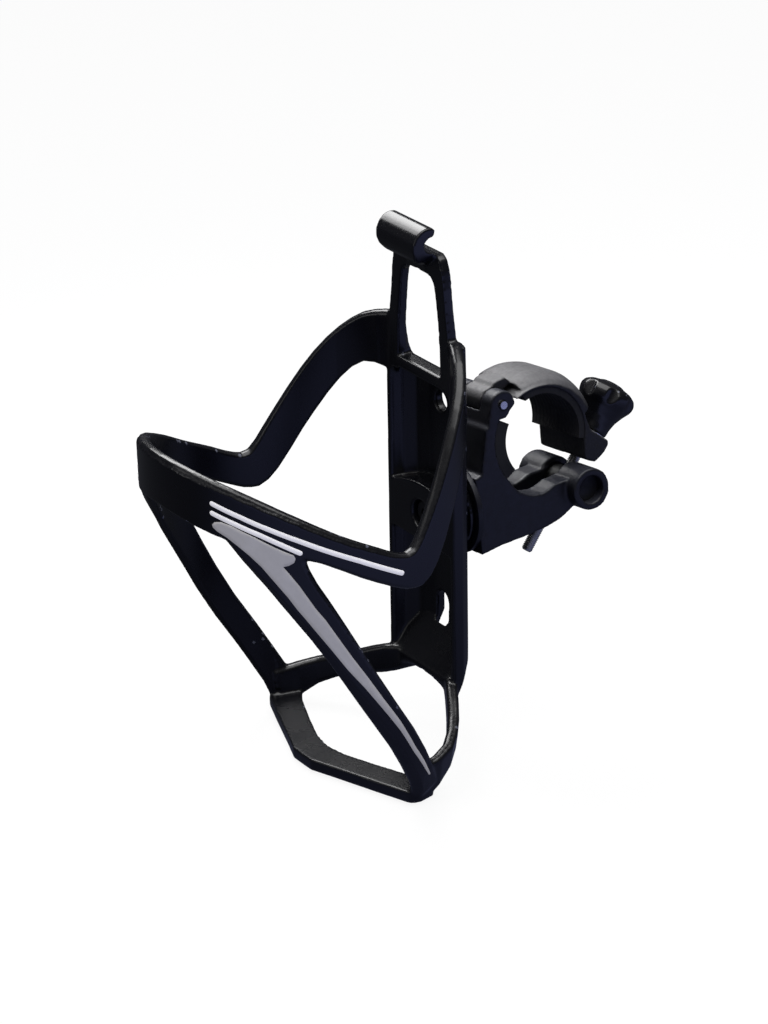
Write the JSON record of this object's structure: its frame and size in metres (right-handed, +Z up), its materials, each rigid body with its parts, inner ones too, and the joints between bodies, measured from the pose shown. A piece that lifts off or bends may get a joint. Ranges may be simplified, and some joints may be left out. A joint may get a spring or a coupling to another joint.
{
  "type": "water bottle cage",
  "caption": "Moulded bottle cage with wings, diagonal struts, hooked top tab and V-shaped foot, carried on a swivelling hinged clamp with a screw knob for a round tube.",
  "frame": {"origin": "on the bottle axis, at the height of the clamp pivot", "axes": "+Z up along the bottle axis, +Y from the bottle towards the clamped tube, X across the rail; the clamped tube runs along X, turned 7 degrees about Y"},
  "size_m": [0.0814, 0.1386, 0.1374],
  "materials": {
    "cage_plastic": "glossy moulded",
    "clamp_plastic": "fine grained matte",
    "knob_plastic": "glossy",
    "pad_rubber": "matte",
    "steel": "zinc plated",
    "dark_steel": "black oxide"
  },
  "bodies": {
    "clamp": {"clamp_body": "clamp_plastic", "pivot_nut": "steel", "lower_pad": "pad_rubber", "hinge_pin": "steel", "hinge_clip": "steel"},
    "cage": {"cage": "cage_plastic", "swivel_base": "clamp_plastic", "pivot_screw": "steel", "pivot_washer": "steel"},
    "jaw": {"upper_jaw": "clamp_plastic", "upper_pad": "pad_rubber"},
    "barrel": {"barrel_nut": "dark_steel"},
    "carrier": {"knob_washer": "steel"},
    "screw": {"clamp_bolt": "steel", "knob": "knob_plastic", "knob_cap": "knob_plastic"}
  },
  "joints": [
    {"name": "clamp_swivel", "type": "hinge", "parent": "clamp", "child": "cage", "pos_m": [0, 0.0446, 0], "axis": [0, 1, 0], "continuous": true},
    {"name": "jaw_hinge", "type": "hinge", "parent": "clamp", "child": "jaw", "pos_m": [-0.00312, 0.0542, 0.02541], "axis": [0.9925, 0, 0.1219], "range_deg": [0, 28.5]},
    {"name": "bolt_swing", "type": "hinge", "parent": "clamp", "child": "barrel", "pos_m": [0.00013, 0.0761, -0.00109], "axis": [-0.9925, 0, -0.1219], "range_deg": [0, 50]},
    {"name": "screw_travel", "type": "slide", "parent": "barrel", "child": "carrier", "axis": [-0.0941, 0.635, 0.7668], "range_m": [0, 0.018]},
    {"name": "knob_spin", "type": "hinge", "parent": "carrier", "child": "screw", "pos_m": [0.00013, 0.0761, -0.00109], "axis": [-0.0941, 0.635, 0.7668], "range_deg": [0, 12970]}
  ],
  "couplings": [
    {"joint": "knob_spin", "follows": "screw_travel", "rad_per_m": 12566},
    {"joint": "jaw_hinge", "follows": "screw_travel", "rad_per_m": 27.5}
  ]
}
